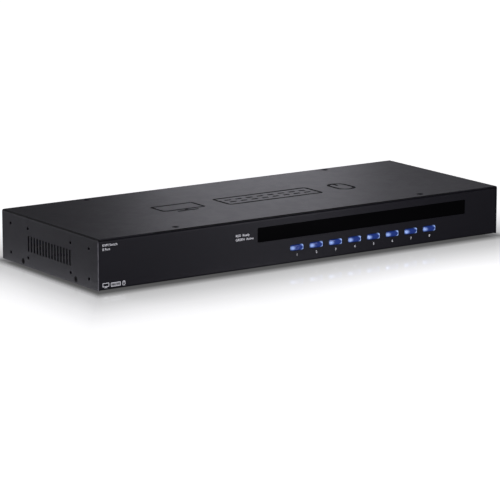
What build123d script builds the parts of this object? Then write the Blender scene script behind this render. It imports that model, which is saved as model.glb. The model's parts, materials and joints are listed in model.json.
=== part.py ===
"""Eight-port KVM switch, one rack unit high, as separate pieces.

A folded steel tray carries the boards, and a folded steel cover slides over it and is held by
countersunk screws. Eight buttons sit under a smoked window on the front, and the computer and
console ports are on the rear wall. Millimetres, +Z up, -Y front. The origin is on the surface the
feet stand on, under the middle of the whole outline.
"""
import os

from build123d import *

# ---- Case -------------------------------------------------------------------------------------
body_width = 430.0
body_depth = 162.0
body_height = 44.4
sheet = 1.2
bend_radius = 1.8
edge_round = 0.3
wall_setback = 0.3
wall_gap = 0.4
top_flange = 14.0
side_flange = 9.0
flange_relief = 1.0

# ---- Feet -------------------------------------------------------------------------------------
foot_height = 2.0
foot_radius = 6.5
foot_inset_x = 26.0
foot_inset_y = 20.0

# ---- Countersunk M3 screws --------------------------------------------------------------------
csk_shank_radius = 1.45
csk_head_height = sheet
csk_head_radius = csk_shank_radius + csk_head_height
csk_hole_radius = 1.6
csk_tapped_radius = 1.5
csk_length = 5.0
csk_drive_length = 3.2
csk_drive_width = 0.7
csk_drive_depth = 0.8
dimple_radius = 3.6
top_screw_x = 132.0
top_screw_front_inset = 8.5
top_screw_rear_inset = 6.0
side_screw_y = 44.5
side_screw_z = 3.8

# ---- Side vents and rack-ear holes ------------------------------------------------------------
vent_count = 15
vent_pitch = 5.0
vent_width = 2.3
vent_height = 14.2
vent_z = 20.9
ear_hole_radius = 1.25
ear_chamfer = 0.35
ear_collar_radius = 2.7
ear_collar_depth = 1.4
ear_y_spacing = 30.0
ear_z_spacing = 26.0
ear_pattern_y = 51.0
ear_pattern_z = 21.0

# ---- Pictograms pressed into the top ----------------------------------------------------------
mark_depth = 0.8
mark_stroke = 3.2
mark_corner = 4.2
mark_end_flat = 0.2
mark_y = -2.2
screen_width = 46.0
screen_height = 25.0
screen_foot_width = 22.0
keyboard_width = 104.0
keyboard_height = 31.0
keyboard_key = 7.0
keyboard_key_pitch = 11.6
keyboard_keys_per_row = 8
keyboard_rows = 2
keyboard_row_pitch = 8.6
mouse_width = 20.0
mouse_height = 31.0
mark_gap = 20.0

# ---- Front: window, buttons -------------------------------------------------------------------
front_centre_x = 62.7
window_width = 230.0
window_height = 13.2
window_z = 29.0
window_corner = 0.8
window_fit = 0.15
window_lip = 2.0
window_lip_thickness = 1.3
window_recess = 0.15
button_count = 8
button_row_x = 63.4
button_pitch = 21.0
button_z = 13.3
cap_width = 14.0
cap_height = 4.9
cap_corner = 1.1
cap_end_radius = 1.9
cap_dome = 0.6
cap_proud = 1.2
cap_opening_fit = 0.4
cap_flange_lip = 1.2
cap_flange = 1.0
cap_stem_radius = 2.0
cap_stem = 1.4
cap_rest_gap = 0.1
guide_thickness = 2.5
guide_fit = 0.3
guide_margin = 1.6
guide_post = 5.0

# ---- Front board ------------------------------------------------------------------------------
board_thickness = 1.6
front_board_width = 252.0
front_board_height = 32.0
tact_size = 6.0
tact_height = 3.5
tact_well = 2.0
plunger_radius = 1.6
plunger_fit = 0.08
plunger_reach = 1.5
plunger_inside = 1.2
led_radius = 1.5
led_height = 5.3
led_spacing = 6.0
shroud_clearance = 0.3
shroud_height = 10.0
shroud_end = 8.0
shroud_bore_radius = 1.7
display_width = 19.0
display_height = 11.0
display_inset = 17.0
front_standoff_radius = 2.5
front_standoff_upper_x = 121.5
front_standoff_lower_x = 98.0

# ---- Pan-head screws --------------------------------------------------------------------------
pan_head_radius = 2.6
pan_head_height = 1.9
pan_shank_radius = 1.4
pan_hole_radius = 1.6
pan_shank = 6.0

# ---- Main board -------------------------------------------------------------------------------
main_board_width = 400.0
main_board_depth = 110.0
main_board_gap = 0.5
standoff_height = 8.0
standoff_radius = 3.0
standoff_x = 192.0
standoff_front_inset = 6.0
standoff_rear_inset = 25.0

# ---- Ribbon between the boards ----------------------------------------------------------------
ribbon_x = 20.0
ribbon_width = 25.4
ribbon_thickness = 0.9
ribbon_arc = 5.0
header_width = 33.0
header_thickness = 6.0
header_reach = 9.0
header_inset = 12.0
ribbon_rise = 15.0

# ---- High-density 15-way ports ----------------------------------------------------------------
port_count = 8
port_pitch = 33.0
first_port_x = 60.0
chain_port_x = 95.5
console_port_x = 129.0
shell_width = 16.3
shell_height = 7.9
shell_corner = 2.0
shell_side_angle = 80.0
shell_wall = 0.5
shell_proud = 5.8
shell_opening_fit = 0.4
flange_plate = 1.0
port_width = 30.8
port_height = 12.5
port_body_depth = 9.0
insert_proud = 5.4
contact_radius = 0.5
contact_depth = 5.0
contact_pitch = 2.29
contact_row_pitch = 1.98
jack_spacing = 25.0
jack_flats = 4.8
jack_height = 4.8
jack_thread_radius = 1.1
jack_thread_depth = 4.4
jack_shank_radius = 1.4
jack_shank = 6.0
jack_hole_radius = 1.6
jack_fit = 0.05

# ---- Round console jacks and the power inlet --------------------------------------------------
mouse_jack_x = 156.5
keyboard_jack_x = 172.5
din_width = 14.0
din_depth = 13.0
din_height = 13.0
din_boss_radius = 6.0
din_hole_radius = 6.2
din_ring_outer = 4.75
din_ring_inner = 4.0
din_socket_depth = 6.0
din_pin_radius = 0.55
din_pin_circle = 2.7
din_pins = 6
din_key_width = 2.2
din_key_height = 1.4
power_jack_x = 192.0
power_width = 9.0
power_depth = 14.0
power_height = 11.0
power_boss_radius = 4.3
power_hole_radius = 4.5
power_socket_radius = 3.15
power_socket_depth = 9.5
power_pin_radius = 1.05
power_pin_length = 8.5

# ---- Components on the main board -------------------------------------------------------------
chip_size = 12.0
chip_height = 1.6
chip_inset = 42.0
controller_size = 20.0
controller_x = 130.0
crystal_width = 11.4
crystal_depth = 4.7
crystal_height = 3.5
crystal_x = 108.0
capacitor_radius = 3.2
capacitor_height = 8.0
capacitor_count = 6
capacitor_pitch = 26.0
capacitor_first_x = -160.0
capacitor_inset = 66.0
buzzer_radius = 6.0
buzzer_height = 8.5
buzzer_x = 172.0
buzzer_inset = 72.0
regulator_width = 10.0
regulator_depth = 4.5
regulator_height = 15.0
regulator_x = 172.0
regulator_inset = 46.0

# ---- Lines and faces worked out from the sizes above ------------------------------------------
z_bottom = foot_height
z_top = z_bottom + body_height
z_floor = z_bottom + sheet
z_cover_under = z_top - sheet
z_tray_top = z_cover_under - wall_gap

front_reach = cap_proud - wall_setback
rear_reach = shell_proud - wall_setback
y_front = front_reach - (front_reach + body_depth + rear_reach) / 2
y_rear = y_front + body_depth
y_mid = (y_front + y_rear) / 2
y_front_face = y_front + wall_setback
y_front_inner = y_front_face + sheet
y_rear_face = y_rear - wall_setback
y_rear_inner = y_rear_face - sheet

half_width = body_width / 2
inner_half_width = half_width - sheet
wall_half_width = inner_half_width - wall_gap
inner_bend = bend_radius - sheet

guide_back = y_front_inner + guide_thickness
flange_front = guide_back + cap_rest_gap
stem_front = flange_front + cap_flange
plunger_front = stem_front + cap_stem
tact_front = plunger_front + plunger_reach
y_front_board = tact_front + tact_height
y_front_board_back = y_front_board + board_thickness

button_xs = [button_row_x + (i - (button_count - 1) / 2) * button_pitch for i in range(button_count)]
button_row_z = z_bottom + button_z
window_row_z = z_bottom + window_z
front_board_z = (button_row_z + window_row_z) / 2
window_back = y_front_inner + window_lip_thickness
shroud_front = window_back + shroud_clearance
shroud_depth = y_front_board - shroud_front
front_standoffs = [
    (front_centre_x - front_standoff_upper_x, window_row_z),
    (front_centre_x + front_standoff_upper_x, window_row_z),
    (front_centre_x - front_standoff_lower_x, button_row_z),
    (front_centre_x + front_standoff_lower_x, button_row_z),
]

z_board = z_floor + standoff_height
z_board_top = z_board + board_thickness
y_board_rear = y_rear_inner - main_board_gap
y_board_front = y_board_rear - main_board_depth
y_board_mid = (y_board_rear + y_board_front) / 2
main_standoffs = [
    (x, y)
    for x in (-standoff_x, 0, standoff_x)
    for y in (y_board_front + standoff_front_inset, y_board_rear - standoff_rear_inset)
]

pc_port_xs = [first_port_x - i * port_pitch for i in range(port_count)]
all_port_xs = pc_port_xs + [chain_port_x, console_port_x]
port_z = z_board_top + port_height / 2
jack_positions = [(x + side * jack_spacing / 2, port_z) for x in all_port_xs for side in (-1, 1)]
din_z = z_board_top + din_height / 2
power_z = z_board_top + power_height / 2

top_screw_ys = (y_front + top_screw_front_inset, y_rear - top_screw_rear_inset)
top_screws_at = [(x, y) for x in (-top_screw_x, top_screw_x) for y in top_screw_ys]
side_screws_at = [(y_mid + end * side_screw_y, z_bottom + side_screw_z) for end in (-1, 1)]
ear_holes = [
    (y_mid + end * ear_pattern_y + dy * ear_y_spacing / 2, z_bottom + ear_pattern_z + dz * ear_z_spacing / 2)
    for end in (-1, 1)
    for dy in (-1, 1)
    for dz in (-1, 1)
]
feet = {
    "foot_front_left": (-half_width + foot_inset_x, y_front + foot_inset_y),
    "foot_front_right": (half_width - foot_inset_x, y_front + foot_inset_y),
    "foot_rear_left": (-half_width + foot_inset_x, y_rear - foot_inset_y),
    "foot_rear_right": (half_width - foot_inset_x, y_rear - foot_inset_y),
}


def facing_front(y):
    """A plane at y whose normal points at the front, with X across and Z up."""
    return Plane(origin=(0, y, 0), x_dir=(1, 0, 0), z_dir=(0, -1, 0))


def outward(side, y, z):
    """A plane on one side of the cover, at y and z, whose normal points out of that side."""
    return Plane(origin=(side * half_width, y, z), z_dir=(side, 0, 0))


def save(piece, name):
    """Label a finished piece and write it to a file of its own."""
    piece.part.label = name
    export_step(piece.part, f"parts/{name}.step")


def port_outline(grow=0.0, mode=Mode.ADD):
    """The D shape of a 15-way port, wide side up, larger all round by grow."""
    with BuildSketch(mode=Mode.PRIVATE) as outline:
        Trapezoid(shell_width, shell_height, shell_side_angle, rotation=180)
        fillet(outline.vertices(), shell_corner)
        if grow:
            offset(amount=grow)
    add(outline.sketch, mode=mode)


# ---- Case pieces ------------------------------------------------------------------------------
def mark_outline(width, height, corner, x, y):
    """One pressed line round a rounded rectangle."""
    with Locations((x, y)):
        RectangleRounded(width, height, corner)
        RectangleRounded(width - 2 * mark_stroke, height - 2 * mark_stroke, corner - mark_stroke,
                         mode=Mode.SUBTRACT)


def draw_pictograms():
    """A screen, a keyboard and a mouse in broad lines, side by side."""
    total = screen_width + keyboard_width + mouse_width + 2 * mark_gap
    screen_x = (screen_width - total) / 2
    keyboard_x = screen_x + (screen_width + keyboard_width) / 2 + mark_gap
    mouse_x = keyboard_x + (keyboard_width + mouse_width) / 2 + mark_gap
    y = y_mid + mark_y
    base_y = y - keyboard_height / 2 + mark_stroke / 2
    screen_y = y + (keyboard_height - screen_height) / 2
    mark_outline(mouse_width, mouse_height, mouse_width / 2 - mark_end_flat, mouse_x, y)
    mark_outline(keyboard_width, keyboard_height, mark_corner, keyboard_x, y)
    mark_outline(screen_width, screen_height, mark_corner, screen_x, screen_y)
    with Locations((screen_x, base_y)):
        Rectangle(screen_foot_width, mark_stroke)
    with Locations((screen_x, base_y)):
        Rectangle(mark_stroke, keyboard_height - screen_height, align=(Align.CENTER, Align.MIN))
    with Locations((mouse_x, y + mouse_height / 2)):
        Rectangle(mark_stroke, mouse_height / 3, align=(Align.CENTER, Align.MAX))
    with Locations((keyboard_x, y)):
        with GridLocations(keyboard_key_pitch, keyboard_row_pitch, keyboard_keys_per_row, keyboard_rows):
            Rectangle(keyboard_key, mark_stroke)


def on_outside(edge):
    """Whether an edge of the bare cover lies on its outer skin, and isn't one of its lower ends."""
    middle = edge @ 0.5
    outer = max(abs(middle.X) - (half_width - sheet / 2), middle.Z - (z_top - sheet / 2)) > 0
    return outer and middle.Z > z_bottom + edge_round


def make_top_cover():
    """The folded cover: top and two sides, with vents, rack-ear holes and dimpled screw holes."""
    with BuildPart() as top_cover:
        with BuildSketch(facing_front(y_rear)):
            with Locations((0, z_bottom)):
                Rectangle(body_width, body_height, align=(Align.CENTER, Align.MIN))
                Rectangle(2 * inner_half_width, body_height - sheet, align=(Align.CENTER, Align.MIN),
                          mode=Mode.SUBTRACT)
            fillet(vertices().group_by(Axis.Y)[-2], inner_bend)
            fillet(vertices().group_by(Axis.Y)[-1], bend_radius)
        extrude(amount=body_depth)
        for end_face in (top_cover.faces().sort_by(Axis.Y)[0], top_cover.faces().sort_by(Axis.Y)[-1]):
            fillet([edge for edge in end_face.edges() if on_outside(edge)], edge_round)
        with BuildSketch(Plane.XY.offset(z_cover_under - wall_gap)):
            with Locations(*top_screws_at):
                Circle(dimple_radius)
        extrude(amount=wall_gap)
        for side in (-1, 1):
            with BuildSketch(Plane.YZ.offset(side * inner_half_width)):
                with Locations(*ear_holes):
                    Circle(ear_collar_radius)
            extrude(amount=-side * ear_collar_depth)
        with BuildSketch(Plane.YZ):
            with Locations(*ear_holes):
                Circle(ear_hole_radius)
            with Locations((y_mid, z_bottom + vent_z)):
                with GridLocations(vent_pitch, vent_height, vent_count, 1):
                    SlotOverall(vent_height, vent_width, rotation=90)
        extrude(amount=body_width, both=True, mode=Mode.SUBTRACT)
        with Locations(*[outward(side, y, z) for side in (-1, 1) for y, z in ear_holes]):
            Cone(ear_hole_radius, ear_hole_radius + ear_chamfer, ear_chamfer,
                 align=(Align.CENTER, Align.CENTER, Align.MAX), mode=Mode.SUBTRACT)
        with Locations(*[(x, y, z_top - wall_gap / 2) for x, y in top_screws_at]):
            Cone(csk_head_radius, dimple_radius, wall_gap, mode=Mode.SUBTRACT)
        with Locations(*[(x, y, z_top - wall_gap) for x, y in top_screws_at]):
            CounterSinkHole(csk_hole_radius, csk_head_radius, 2 * sheet, counter_sink_angle=90)
        with Locations(*[outward(side, y, z) for side in (-1, 1) for y, z in side_screws_at]):
            CounterSinkHole(csk_hole_radius, csk_head_radius, 2 * sheet, counter_sink_angle=90)
        with BuildSketch(Plane.XY.offset(z_top)):
            draw_pictograms()
        extrude(amount=-mark_depth, mode=Mode.SUBTRACT)
    save(top_cover, "top_cover")


def make_base_tray():
    """The folded tray: floor, front and rear walls with flanges at the top, and low side flanges."""
    tray_height = z_tray_top - z_bottom
    tray_depth = y_rear_face - y_front_face
    with BuildPart() as base_tray:
        with BuildSketch(Plane.YZ):
            with Locations(((y_front_face + y_rear_face) / 2, z_bottom)):
                Rectangle(tray_depth, tray_height, align=(Align.CENTER, Align.MIN))
            fillet(vertices(), bend_radius)
            with BuildSketch(mode=Mode.PRIVATE) as hollow:
                with Locations(((y_front_face + y_rear_face) / 2, z_floor)):
                    Rectangle(tray_depth - 2 * sheet, tray_height - 2 * sheet,
                              align=(Align.CENTER, Align.MIN))
                fillet(hollow.vertices(), inner_bend)
            add(hollow.sketch, mode=Mode.SUBTRACT)
            with Locations(((y_front_face + y_rear_face) / 2, z_tray_top)):
                Rectangle(tray_depth - 2 * top_flange, 2 * bend_radius, mode=Mode.SUBTRACT)
        extrude(amount=wall_half_width, both=True)
        flange_start = y_front_inner + flange_relief
        flange_end = y_rear_inner - flange_relief
        with BuildSketch(facing_front(flange_end)):
            with Locations((0, z_bottom)):
                Rectangle(2 * inner_half_width, side_flange, align=(Align.CENTER, Align.MIN))
            fillet(vertices().group_by(Axis.Y)[0], bend_radius)
            with BuildSketch(mode=Mode.PRIVATE) as channel:
                with Locations((0, z_floor)):
                    Rectangle(2 * (inner_half_width - sheet), side_flange, align=(Align.CENTER, Align.MIN))
                fillet(channel.vertices().group_by(Axis.Y)[0], inner_bend)
            add(channel.sketch, mode=Mode.SUBTRACT)
        extrude(amount=flange_end - flange_start)
        with BuildSketch(Plane.XY.offset(z_tray_top)):
            with Locations(*top_screws_at):
                Circle(csk_tapped_radius)
        extrude(amount=-2 * sheet, mode=Mode.SUBTRACT)
        with BuildSketch(Plane.YZ):
            with Locations(*side_screws_at):
                Circle(csk_tapped_radius)
            with Locations(*ear_holes):
                Circle(ear_collar_radius + flange_relief)
        extrude(amount=body_width, both=True, mode=Mode.SUBTRACT)
        with BuildSketch(facing_front(y_front_face)):
            with Locations((front_centre_x, window_row_z)):
                RectangleRounded(window_width, window_height, window_corner)
            with Locations(*[(x, button_row_z) for x in button_xs]):
                RectangleRounded(cap_width + 2 * cap_opening_fit, cap_height + 2 * cap_opening_fit,
                                 cap_corner + cap_opening_fit)
        extrude(amount=-sheet, mode=Mode.SUBTRACT)
        with BuildSketch(facing_front(y_rear_face)):
            with Locations(*[(x, port_z) for x in all_port_xs]):
                port_outline(shell_opening_fit)
            with Locations(*jack_positions):
                Circle(jack_hole_radius)
            with Locations((mouse_jack_x, din_z), (keyboard_jack_x, din_z)):
                Circle(din_hole_radius)
            with Locations((power_jack_x, power_z)):
                Circle(power_hole_radius)
        extrude(amount=sheet, mode=Mode.SUBTRACT)
    save(base_tray, "base_tray")


def make_feet():
    """Four round rubber feet stuck under the tray."""
    for name, (x, y) in feet.items():
        with BuildPart() as foot:
            with BuildSketch():
                with Locations((x, y)):
                    Circle(foot_radius)
            extrude(amount=foot_height)
            chamfer(foot.edges().group_by(Axis.Z)[0], foot_height / 5)
        save(foot, name)


def screw_blank(head_height, head_profile_radius, shank_radius, shank_length, flush):
    """One screw with its head's top at the origin and its shank along -Z."""
    with BuildPart() as screw:
        with BuildSketch(Plane.XZ):
            with BuildLine():
                if flush:
                    Polyline((0, 0), (head_profile_radius, 0), (shank_radius, -head_height),
                             (shank_radius, -shank_length), (0, -shank_length), close=True)
                else:
                    Polyline((0, 0), (head_profile_radius, 0), (head_profile_radius, -head_height),
                             (shank_radius, -head_height), (shank_radius, -head_height - shank_length),
                             (0, -head_height - shank_length), close=True)
            make_face()
        revolve(axis=Axis.Z)
        with BuildSketch(Plane.XY):
            Rectangle(csk_drive_length, csk_drive_width)
            Rectangle(csk_drive_width, csk_drive_length)
        extrude(amount=-csk_drive_depth, mode=Mode.SUBTRACT)
    return screw.part


def make_case_screws():
    """Countersunk screws that hold the cover to the tray's flanges."""
    blank = screw_blank(csk_head_height, csk_head_radius, csk_shank_radius, csk_length, True)
    with BuildPart() as top_screws:
        with Locations(*[(x, y, z_top - wall_gap) for x, y in top_screws_at]):
            add(blank)
    save(top_screws, "top_screws")
    with BuildPart() as side_screws:
        with Locations(*[outward(side, y, z) for side in (-1, 1) for y, z in side_screws_at]):
            add(blank)
    save(side_screws, "side_screws")


# ---- Front pieces -----------------------------------------------------------------------------
def make_display_window():
    """The smoked window: a pane that fills its opening and a lip behind the wall."""
    with BuildPart() as display_window:
        with BuildSketch(facing_front(y_front_inner)):
            with Locations((front_centre_x, window_row_z)):
                RectangleRounded(window_width - 2 * window_fit, window_height - 2 * window_fit,
                                 window_corner - window_fit)
        extrude(amount=sheet - window_recess)
        with BuildSketch(facing_front(y_front_inner)):
            with Locations((front_centre_x, window_row_z)):
                Rectangle(window_width + 2 * window_lip, window_height + 2 * window_lip)
        extrude(amount=-window_lip_thickness)
    save(display_window, "display_window")


def make_button_guide():
    """The black guide behind the wall that the caps slide in, with a post at each end."""
    span = (button_count - 1) * button_pitch
    flange_width = cap_width + 2 * cap_flange_lip
    flange_height = cap_height + 2 * cap_flange_lip
    guide_width = span + flange_width + 2 * (guide_margin + guide_post)
    guide_height = flange_height + 2 * guide_margin
    with BuildPart() as button_guide:
        with BuildSketch(facing_front(y_front_inner)):
            with Locations((button_row_x, button_row_z)):
                Rectangle(guide_width, guide_height)
            with Locations(*[(x, button_row_z) for x in button_xs]):
                RectangleRounded(cap_width + 2 * guide_fit, cap_height + 2 * guide_fit,
                                 cap_corner + guide_fit, mode=Mode.SUBTRACT)
        extrude(amount=-guide_thickness)
        with BuildSketch(facing_front(guide_back)):
            with Locations((button_row_x, button_row_z)):
                with GridLocations(guide_width - guide_post, guide_height, 2, 1):
                    Rectangle(guide_post, guide_height)
        extrude(amount=guide_back - y_front_board)
    save(button_guide, "button_guide")


def make_buttons():
    """Eight domed caps, each with a flange behind the guide and a stem to its switch."""
    y_cap_face = y_front_face - cap_proud
    y_cap_end = y_cap_face + cap_dome
    for number, x in enumerate(button_xs, start=1):
        left, right = x - cap_width / 2, x + cap_width / 2
        with BuildPart() as button:
            with BuildSketch(Plane.XY.offset(button_row_z - cap_height / 2)):
                with BuildLine():
                    ThreePointArc((left, y_cap_end), (x, y_cap_face), (right, y_cap_end))
                    Polyline(
                        (right, y_cap_end), (right, flange_front), (left, flange_front), (left, y_cap_end)
                    )
                make_face()
                fillet(vertices().group_by(Axis.Y)[0], cap_end_radius)
            extrude(amount=cap_height)
            rims = button.edges().filter_by(lambda edge: abs((edge @ 0.5).Z - button_row_z) > cap_height / 3)
            fillet([edge for edge in rims if (edge @ 0.5).Y < flange_front - cap_rest_gap / 2], cap_corner)
            with BuildSketch(facing_front(flange_front)):
                with Locations((x, button_row_z)):
                    RectangleRounded(cap_width + 2 * cap_flange_lip, cap_height + 2 * cap_flange_lip,
                                     cap_corner)
            extrude(amount=-cap_flange)
            with BuildSketch(facing_front(stem_front)):
                with Locations((x, button_row_z)):
                    Circle(cap_stem_radius)
            extrude(amount=-cap_stem)
        save(button, f"button_{number}")


def make_switch_plungers():
    """The moving pin of each push switch, which rides with its cap."""
    for number, x in enumerate(button_xs, start=1):
        with BuildPart() as plunger:
            with BuildSketch(facing_front(plunger_front)):
                with Locations((x, button_row_z)):
                    Circle(plunger_radius)
            extrude(amount=-plunger_reach - plunger_inside)
        save(plunger, f"switch_plunger_{number}")


def make_switch_bodies():
    """The fixed bodies of the eight push switches, with a well for the plunger."""
    with BuildPart() as switch_bodies:
        with BuildSketch(facing_front(tact_front)):
            with Locations(*[(x, button_row_z) for x in button_xs]):
                Rectangle(tact_size, tact_size)
        extrude(amount=-tact_height)
        with BuildSketch(facing_front(tact_front)):
            with Locations(*[(x, button_row_z) for x in button_xs]):
                Circle(plunger_radius + plunger_fit)
        extrude(amount=-tact_well, mode=Mode.SUBTRACT)
    save(switch_bodies, "switch_bodies")


def make_front_leds():
    """A red and a green lamp for each port, standing on the front board behind the window."""
    for name, shift in (("red_leds", -led_spacing / 2), ("green_leds", led_spacing / 2)):
        with BuildPart() as leds:
            with BuildSketch(facing_front(y_front_board)):
                with Locations(*[(x + shift, window_row_z) for x in button_xs]):
                    Circle(led_radius)
            extrude(amount=led_height)
            fillet(leds.edges().group_by(Axis.Y)[0], 0.8 * led_radius)
        save(leds, name)


def make_led_shroud():
    """The black block that keeps each lamp's light apart."""
    with BuildPart() as led_shroud:
        with BuildSketch(facing_front(y_front_board)):
            with Locations((front_centre_x, window_row_z)):
                Rectangle((button_count - 1) * button_pitch + 2 * shroud_end, shroud_height)
            for shift in (-led_spacing / 2, led_spacing / 2):
                with Locations(*[(x + shift, window_row_z) for x in button_xs]):
                    Circle(shroud_bore_radius, mode=Mode.SUBTRACT)
        extrude(amount=shroud_depth)
    save(led_shroud, "led_shroud")


def make_bank_display():
    """The two-digit display at the right end of the window."""
    display_x = front_centre_x + window_width / 2 - display_inset
    with BuildPart() as bank_display:
        with BuildSketch(facing_front(y_front_board)):
            with Locations((display_x, window_row_z)):
                Rectangle(display_width, display_height)
        extrude(amount=shroud_depth)
    save(bank_display, "bank_display")


def make_front_board():
    """The upright board behind the front wall."""
    with BuildPart() as front_board:
        with BuildSketch(facing_front(y_front_board)):
            with Locations((front_centre_x, front_board_z)):
                Rectangle(front_board_width, front_board_height)
            with Locations(*front_standoffs):
                Circle(pan_hole_radius, mode=Mode.SUBTRACT)
        extrude(amount=-board_thickness)
    save(front_board, "front_board")


def make_front_standoffs():
    """Spacers pressed to the front wall, tapped from behind."""
    with BuildPart() as front_standoff_group:
        with BuildSketch(facing_front(y_front_inner)):
            with Locations(*front_standoffs):
                Circle(front_standoff_radius)
        extrude(amount=y_front_inner - y_front_board)
        with BuildSketch(facing_front(y_front_board)):
            with Locations(*front_standoffs):
                Circle(csk_tapped_radius)
        extrude(amount=pan_shank, mode=Mode.SUBTRACT)
    save(front_standoff_group, "front_standoffs")


def make_board_screws():
    """Pan-head screws for both boards."""
    blank = screw_blank(pan_head_height, pan_head_radius, pan_shank_radius, pan_shank, False)
    y_head = y_front_board_back + pan_head_height
    with BuildPart() as front_board_screws:
        with Locations(*[Plane(origin=(x, y_head, z), z_dir=(0, 1, 0)) for x, z in front_standoffs]):
            add(blank)
    save(front_board_screws, "front_board_screws")
    with BuildPart() as main_board_screws:
        with Locations(*[(x, y, z_board_top + pan_head_height) for x, y in main_standoffs]):
            add(blank)
    save(main_board_screws, "main_board_screws")


# ---- Main board pieces ------------------------------------------------------------------------
def make_main_board():
    """The main board and the spacers it stands on."""
    with BuildPart() as main_board:
        with BuildSketch(Plane.XY.offset(z_board)):
            with Locations((0, y_board_mid)):
                Rectangle(main_board_width, main_board_depth)
            with Locations(*main_standoffs):
                Circle(pan_hole_radius, mode=Mode.SUBTRACT)
        extrude(amount=board_thickness)
    save(main_board, "main_board")
    with BuildPart() as main_standoff_group:
        with BuildSketch(Plane.XY.offset(z_floor)):
            with Locations(*main_standoffs):
                RegularPolygon(standoff_radius, 6)
                Circle(csk_tapped_radius, mode=Mode.SUBTRACT)
        extrude(amount=standoff_height)
    save(main_standoff_group, "main_standoffs")


def on_board(name, positions, height, outline):
    """Put one or more equal components on the main board's upper face."""
    with BuildPart() as component:
        with BuildSketch(Plane.XY.offset(z_board_top)):
            with Locations(*positions):
                outline()
        extrude(amount=height)
    save(component, name)


def make_components():
    """The larger components on the main board."""
    chip_y = y_board_rear - chip_inset
    capacitor_xs = [capacitor_first_x + i * capacitor_pitch for i in range(capacitor_count)]
    on_board("port_chips", [(x, chip_y) for x in pc_port_xs], chip_height,
             lambda: Rectangle(chip_size, chip_size))
    on_board("controller_chip", [(controller_x, chip_y)], chip_height,
             lambda: Rectangle(controller_size, controller_size))
    on_board("crystal", [(crystal_x, chip_y)], crystal_height,
             lambda: SlotOverall(crystal_width, crystal_depth))
    on_board("capacitors", [(x, y_board_rear - capacitor_inset) for x in capacitor_xs], capacitor_height,
             lambda: Circle(capacitor_radius))
    on_board("buzzer", [(buzzer_x, y_board_rear - buzzer_inset)], buzzer_height,
             lambda: Circle(buzzer_radius))
    on_board("regulator", [(regulator_x, y_board_rear - regulator_inset)], regulator_height,
             lambda: Rectangle(regulator_width, regulator_depth))


def make_ribbon():
    """The flat cable between the boards, and the header at each end."""
    y_main_header = y_board_front + header_inset
    y_start = y_front_board_back + header_reach
    z_end = z_board_top + header_reach
    z_loop = z_end + ribbon_rise
    y_turn = (y_start + y_main_header) / 2
    with BuildPart() as front_header:
        with BuildSketch(facing_front(y_front_board_back)):
            with Locations((ribbon_x, front_board_z)):
                Rectangle(header_width, header_thickness)
        extrude(amount=-header_reach)
    save(front_header, "front_header")
    with BuildPart() as main_header:
        with BuildSketch(Plane.XY.offset(z_board_top)):
            with Locations((ribbon_x, y_main_header)):
                Rectangle(header_width, header_thickness)
        extrude(amount=header_reach)
    save(main_header, "main_header")
    with BuildPart() as ribbon_cable:
        with BuildLine() as route:
            FilletPolyline((ribbon_x, y_start, front_board_z), (ribbon_x, y_turn, front_board_z),
                           (ribbon_x, y_turn, z_loop), (ribbon_x, y_main_header, z_loop),
                           (ribbon_x, y_main_header, z_end), radius=ribbon_arc)
        with BuildSketch(Plane(origin=(ribbon_x, y_start, front_board_z), x_dir=(1, 0, 0), z_dir=(0, 1, 0))):
            Rectangle(ribbon_width, ribbon_thickness)
        sweep(path=route.wires()[0])
    save(ribbon_cable, "ribbon_cable")


# ---- Rear ports -------------------------------------------------------------------------------
def make_ports(name, xs):
    """Steel shells and plastic inserts of the 15-way ports at the given places."""
    with BuildPart() as shells:
        with BuildSketch(facing_front(y_rear_inner)):
            with Locations(*[(x, port_z) for x in xs]):
                Rectangle(port_width, port_height)
                port_outline(-shell_wall, Mode.SUBTRACT)
        extrude(amount=flange_plate)
        with BuildSketch(facing_front(y_rear_inner)):
            with Locations(*[(x, port_z) for x in xs]):
                port_outline()
                port_outline(-shell_wall, Mode.SUBTRACT)
        extrude(amount=-(y_rear_face + shell_proud - y_rear_inner))
        with BuildSketch(facing_front(y_rear_inner)):
            with Locations(*[(x + side * jack_spacing / 2, port_z) for x in xs for side in (-1, 1)]):
                Circle(jack_shank_radius + jack_fit)
        extrude(amount=flange_plate, mode=Mode.SUBTRACT)
    save(shells, f"{name}_shells" if len(xs) > 1 else f"{name}_shell")
    insert_face = y_rear_face + insert_proud
    insert_back = y_rear_inner - flange_plate
    with BuildPart() as inserts:
        with BuildSketch(facing_front(insert_face)):
            with Locations(*[(x, port_z) for x in xs]):
                port_outline(-shell_wall)
        extrude(amount=insert_face - insert_back)
        with BuildSketch(facing_front(insert_back)):
            with Locations(*[(x, port_z) for x in xs]):
                Rectangle(port_width, port_height)
        extrude(amount=port_body_depth)
        with BuildSketch(facing_front(insert_face)):
            for row in (-1, 0, 1):
                row_shift = contact_pitch / 4 * (-1 if row == 0 else 1)
                with Locations(*[(x + row_shift, port_z + row * contact_row_pitch) for x in xs]):
                    with GridLocations(contact_pitch, contact_row_pitch, 5, 1):
                        Circle(contact_radius)
        extrude(amount=contact_depth, mode=Mode.SUBTRACT)
        with BuildSketch(facing_front(insert_back)):
            with Locations(*[(x + side * jack_spacing / 2, port_z) for x in xs for side in (-1, 1)]):
                Circle(jack_shank_radius + jack_fit)
        extrude(amount=port_body_depth - 1, mode=Mode.SUBTRACT)
    save(inserts, f"{name}_inserts" if len(xs) > 1 else f"{name}_insert")


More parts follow.
